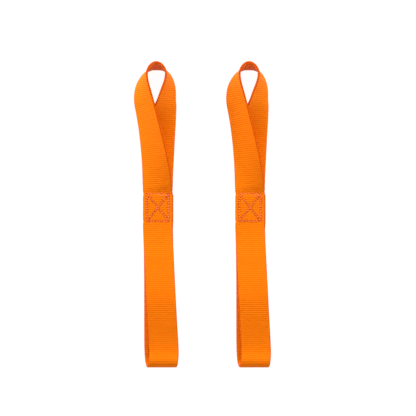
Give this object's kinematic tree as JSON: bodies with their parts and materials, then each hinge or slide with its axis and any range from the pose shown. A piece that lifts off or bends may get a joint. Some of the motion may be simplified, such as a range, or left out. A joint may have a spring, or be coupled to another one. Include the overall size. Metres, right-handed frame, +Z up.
{
  "type": "soft loop tie-down straps",
  "caption": "Sewn webbing soft loops lying side by side, each with a half-twisted eye, a stitched box pad and a long flat loop.",
  "frame": {"origin": "middle of the pair's box, on the surface that the straps lie on", "axes": "+Y along the straps, from the long loops towards the eyes; +Z up, away from the surface; +X from the left strap to the right one"},
  "size_m": [0.0922, 0.205, 0.0201],
  "materials": {
    "webbing": "ribbed woven polyester webbing, matt",
    "thread": "twisted polyester sewing thread"
  },
  "bodies": {
    "left_pad": {"left_pad_front_ply": "webbing", "left_pad_tail_ply": "webbing", "left_pad_back_ply": "webbing", "left_needle_thread": "thread", "left_bobbin_thread": "thread"},
    "left_eye": {"left_eye_front_leg": "webbing", "left_eye_arch": "webbing", "left_eye_back_leg": "webbing"},
    "left_loop": {"left_loop_back_ply": "webbing", "left_loop_fold": "webbing", "left_loop_front_ply": "webbing"},
    "right_pad": {"right_pad_front_ply": "webbing", "right_pad_tail_ply": "webbing", "right_pad_back_ply": "webbing", "right_needle_thread": "thread", "right_bobbin_thread": "thread"},
    "right_eye": {"right_eye_front_leg": "webbing", "right_eye_arch": "webbing", "right_eye_back_leg": "webbing"},
    "right_loop": {"right_loop_back_ply": "webbing", "right_loop_fold": "webbing", "right_loop_front_ply": "webbing"}
  },
  "joints": [
    {"name": "left_eye_flex", "type": "hinge", "parent": "left_pad", "child": "left_eye", "pos_m": [-0.02972, 0.01643, 0.00265], "axis": [1, 0, 0], "range_deg": [-50, 50], "stiffness_Nm_per_rad": 0.02},
    {"name": "left_loop_flex", "type": "hinge", "parent": "left_pad", "child": "left_loop", "pos_m": [-0.02972, -0.00657, 0.00265], "axis": [-1, 0, 0], "range_deg": [-50, 50], "stiffness_Nm_per_rad": 0.02},
    {"name": "right_eye_flex", "type": "hinge", "parent": "right_pad", "child": "right_eye", "pos_m": [0.03198, 0.01643, 0.00265], "axis": [1, 0, 0], "range_deg": [-50, 50], "stiffness_Nm_per_rad": 0.02},
    {"name": "right_loop_flex", "type": "hinge", "parent": "right_pad", "child": "right_loop", "pos_m": [0.03198, -0.00657, 0.00265], "axis": [-1, 0, 0], "range_deg": [-50, 50], "stiffness_Nm_per_rad": 0.02},
    {"name": "right_strap_slide", "type": "slide", "parent": "left_pad", "child": "right_pad", "axis": [1, 0, 0], "range_m": [-0.025, 0.15]}
  ]
}
